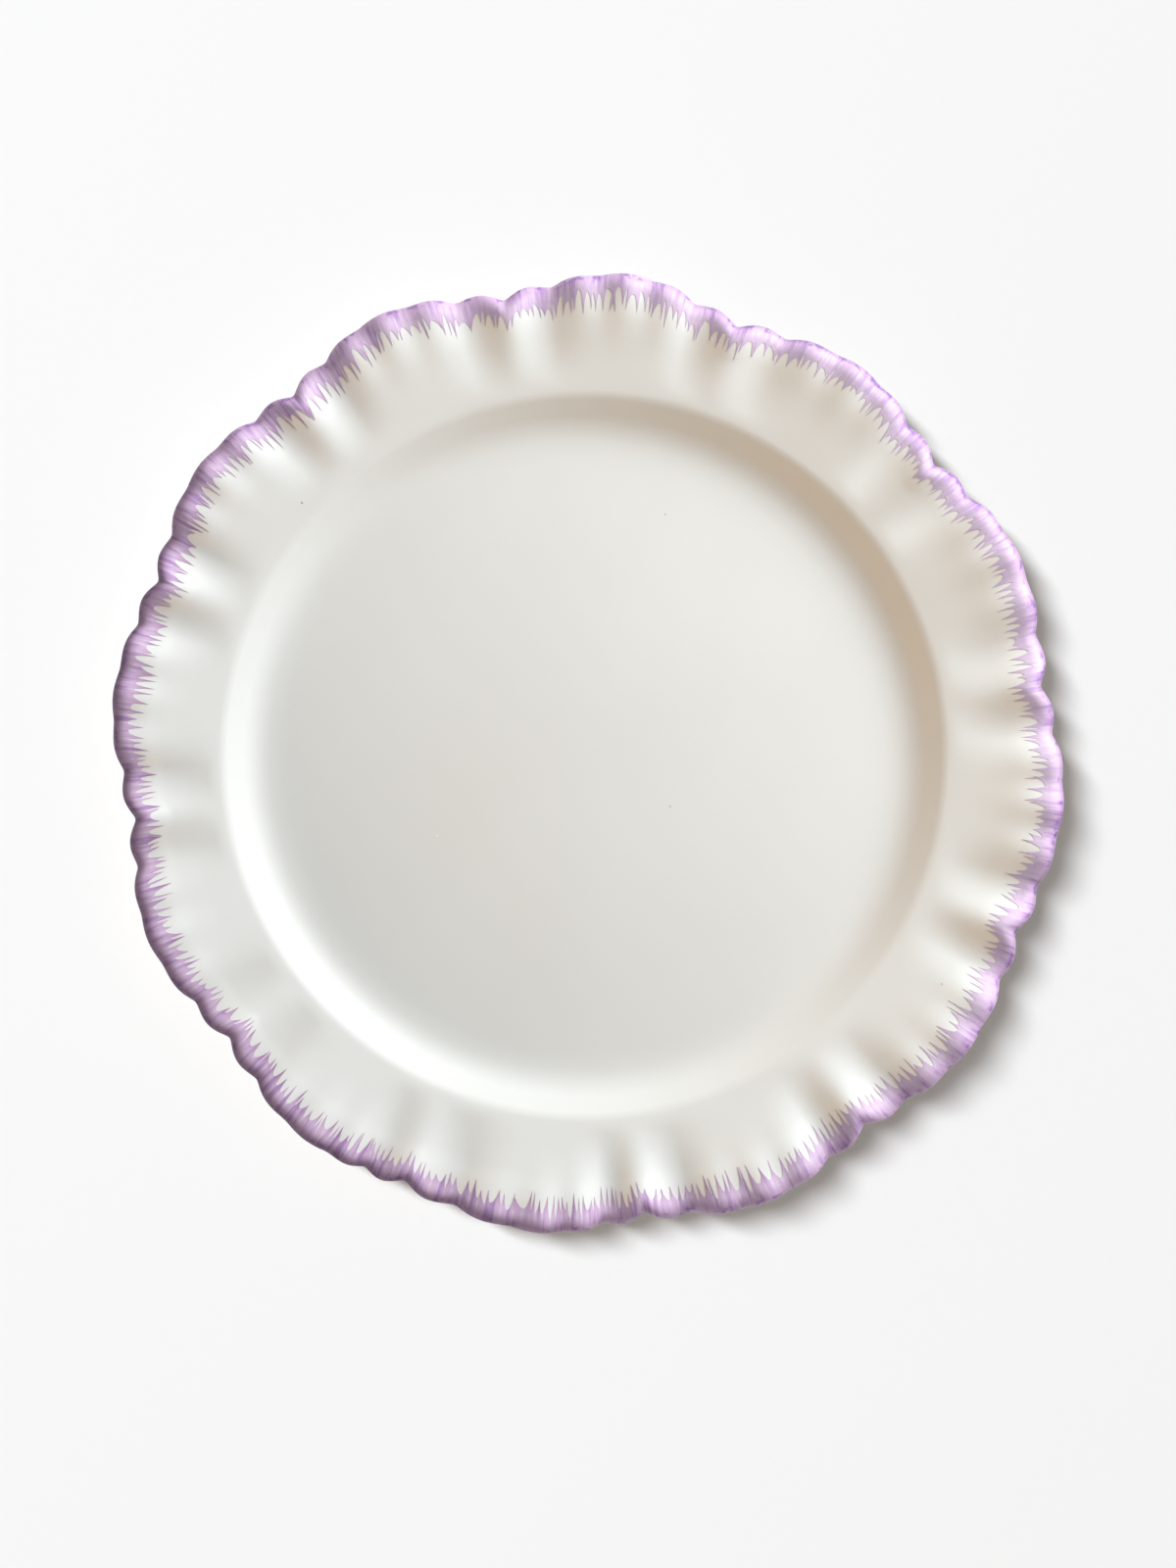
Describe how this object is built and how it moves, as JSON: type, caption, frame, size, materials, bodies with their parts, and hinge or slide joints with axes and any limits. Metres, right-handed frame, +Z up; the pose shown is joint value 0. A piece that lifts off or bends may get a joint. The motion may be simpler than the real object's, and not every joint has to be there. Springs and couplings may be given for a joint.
{
  "type": "charger plate",
  "caption": "Round ceramic charger plate with a flat well, sloping wall, scalloped fluted rim, painted feather edge and a standing foot ring underneath.",
  "frame": {"origin": "on the standing plane, at the centre of the foot ring", "axes": "+Z up out of the well, +Y towards the top of the picture, +X to its right"},
  "size_m": [0.3228, 0.3252, 0.034],
  "materials": {
    "white_glaze": "warm white glaze, satin gloss",
    "bare_clay": "unglazed, wiped standing edge",
    "lilac_enamel": "brushed lilac ceramic colour, streaky, satin"
  },
  "bodies": {
    "root": {"plate_body": "white_glaze", "foot_ring": "bare_clay", "painted_edge": "lilac_enamel"}
  },
  "joints": []
}
